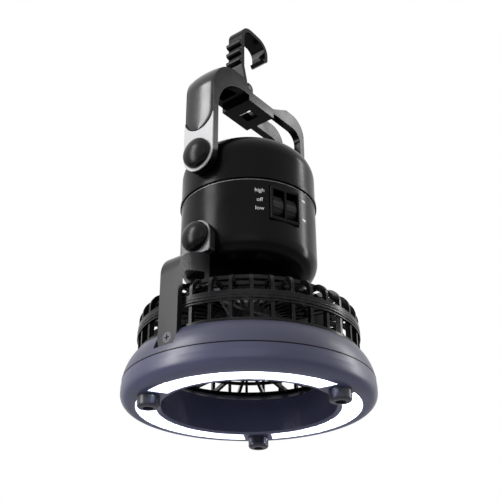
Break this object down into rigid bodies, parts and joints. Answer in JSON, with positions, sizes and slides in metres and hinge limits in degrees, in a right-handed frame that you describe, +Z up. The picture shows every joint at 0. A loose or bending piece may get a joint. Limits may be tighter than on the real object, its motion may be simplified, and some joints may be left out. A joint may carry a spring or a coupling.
{
  "type": "portable camping fan",
  "caption": "Hanging camping fan with a lamp ring round a caged fan, a tilting battery canister, a swinging handle and a folding hook.",
  "frame": {"origin": "centre of the lamp ring on the plane of its feet", "axes": "+Z up through the fan and canister, +X along the hinge axes of the canister and the handle"},
  "size_m": [0.145, 0.145, 0.2769],
  "materials": {
    "ring_shell": "fine satin moulded black plastic",
    "cage": "semi-gloss black plastic",
    "yoke": "satin black plastic",
    "canister": "gloss black plastic",
    "handle": "gloss black plastic",
    "trim": "silver satin trim",
    "knob": "gloss black domes",
    "steel": "zinc plated steel",
    "dark_screw": "blackened steel",
    "washer": "black friction washers",
    "foot": "dark rubbery feet",
    "lens": "clear lens",
    "reflector": "white reflector",
    "led": "white diodes, lit",
    "board": "white circuit board",
    "switch_board": "green circuit board",
    "rocker": "ribbed black rockers",
    "cell": "plain jacketed cells",
    "contact": "nickel plated brass",
    "motor": "zinc plated motor can",
    "fan": "black fan blades"
  },
  "bodies": {
    "head": {"ring_lower_shell": "ring_shell", "ring_upper_shell": "ring_shell", "led_board": "board", "leds": "led", "reflector_ring": "reflector", "lenses": "lens", "feet": "foot", "shell_screws": "steel", "fan_cage": "cage", "lower_guard": "cage", "motor": "motor", "motor_screws": "steel", "yoke": "yoke", "yoke_screws": "dark_screw", "ear_trims": "trim", "tilt_bolts": "steel", "tilt_washers": "washer", "tilt_knobs": "knob"},
    "fan": {"motor_shaft": "steel", "fan_rotor": "fan"},
    "canister": {"canister": "canister", "battery_tray": "rocker", "battery_contacts": "contact", "cells": "cell", "switch_bezel": "canister", "switch_board": "switch_board", "switch_blocks": "rocker"},
    "fan_rocker": {"fan_switch": "rocker"},
    "light_rocker": {"light_switch": "rocker"},
    "cap": {"battery_cap": "canister", "cap_contact_plate": "contact", "cap_plate_screw": "steel"},
    "bail": {"handle": "handle", "handle_pad": "handle", "arm_trims": "trim", "handle_bolts": "steel", "handle_washers": "washer", "handle_knobs": "knob", "hook_pin": "steel"},
    "hook": {"hook": "handle"}
  },
  "joints": [
    {"name": "fan_spin", "type": "hinge", "parent": "head", "child": "fan", "pos_m": [0, 0, 0.045], "axis": [0, 0, 1], "continuous": true},
    {"name": "head_tilt", "type": "hinge", "parent": "head", "child": "canister", "pos_m": [0, 0, 0.0967], "axis": [1, 0, 0], "range_deg": [-40, 40]},
    {"name": "cap_twist", "type": "hinge", "parent": "canister", "child": "cap", "pos_m": [0, 0, 0.134], "axis": [0, 0, 1], "range_deg": [0, 25]},
    {"name": "handle_swing", "type": "hinge", "parent": "cap", "child": "bail", "pos_m": [0, 0, 0.1534], "axis": [1, 0, 0], "range_deg": [-100, 100]},
    {"name": "hook_fold", "type": "hinge", "parent": "bail", "child": "hook", "pos_m": [-0.0095, 0, 0.222], "axis": [0, 1, 0], "range_deg": [0, 90]},
    {"name": "fan_switch_rock", "type": "hinge", "parent": "canister", "child": "fan_rocker", "pos_m": [-0.0159, -0.02939, 0.1184], "axis": [0.9367, -0.3502, 0], "range_deg": [-12, 12]},
    {"name": "light_switch_rock", "type": "hinge", "parent": "canister", "child": "light_rocker", "pos_m": [-0.00728, -0.03261, 0.1184], "axis": [0.9367, -0.3502, 0], "range_deg": [-12, 12]}
  ]
}
